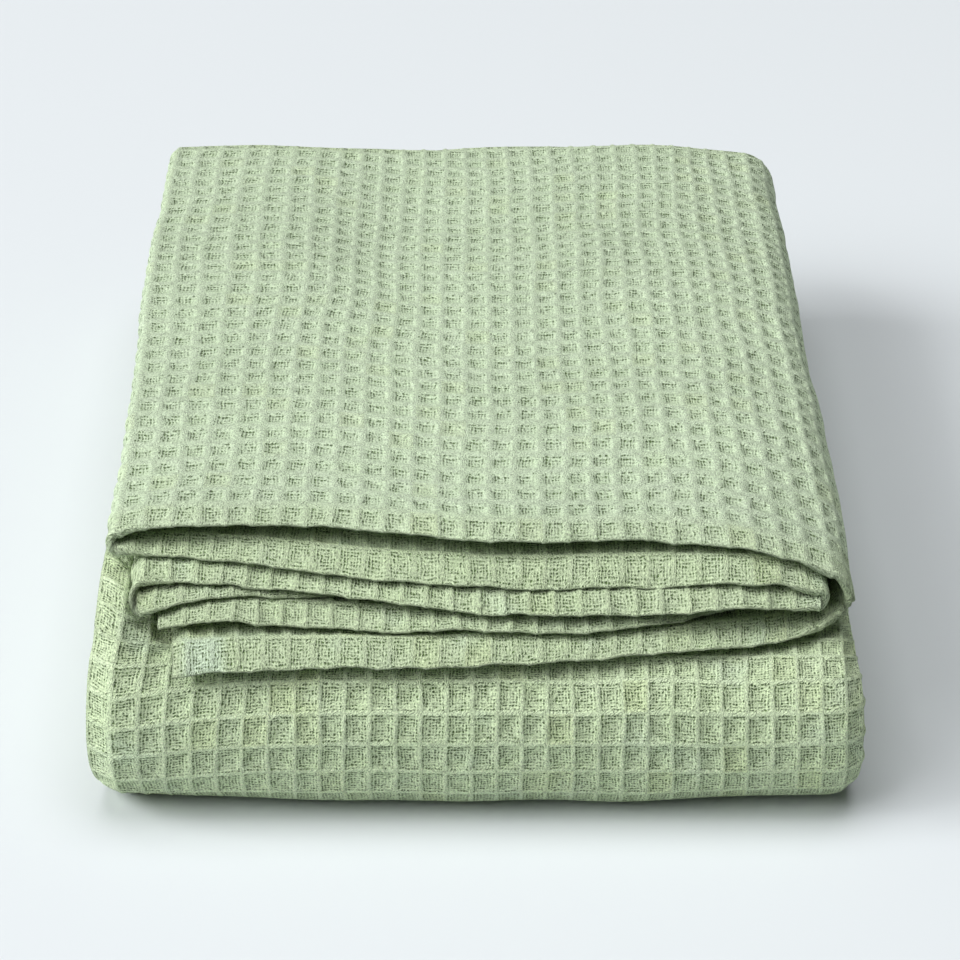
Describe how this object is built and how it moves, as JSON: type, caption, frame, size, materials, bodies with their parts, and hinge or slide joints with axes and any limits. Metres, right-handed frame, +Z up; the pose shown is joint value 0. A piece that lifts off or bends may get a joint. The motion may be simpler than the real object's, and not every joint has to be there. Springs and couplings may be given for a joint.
{
  "type": "folded waffle weave cotton blanket",
  "caption": "Waffle weave cotton blanket, folded side to side and then in thirds, with its hem ends fanned out over the rounded front fold.",
  "frame": {"origin": "middle of the folded blanket's footprint, on the surface that it lies on", "axes": "+Z up; +Y from the front fold to the back fold, along the strip; +X to the right, towards the long outer side fold"},
  "size_m": [0.2788, 0.4544, 0.0957],
  "materials": {
    "waffle_cotton": "matt pale sage green cotton in a deep waffle weave, a little fuzzy at its edges"
  },
  "bodies": {
    "root": {"blanket": "waffle_cotton"}
  },
  "joints": []
}
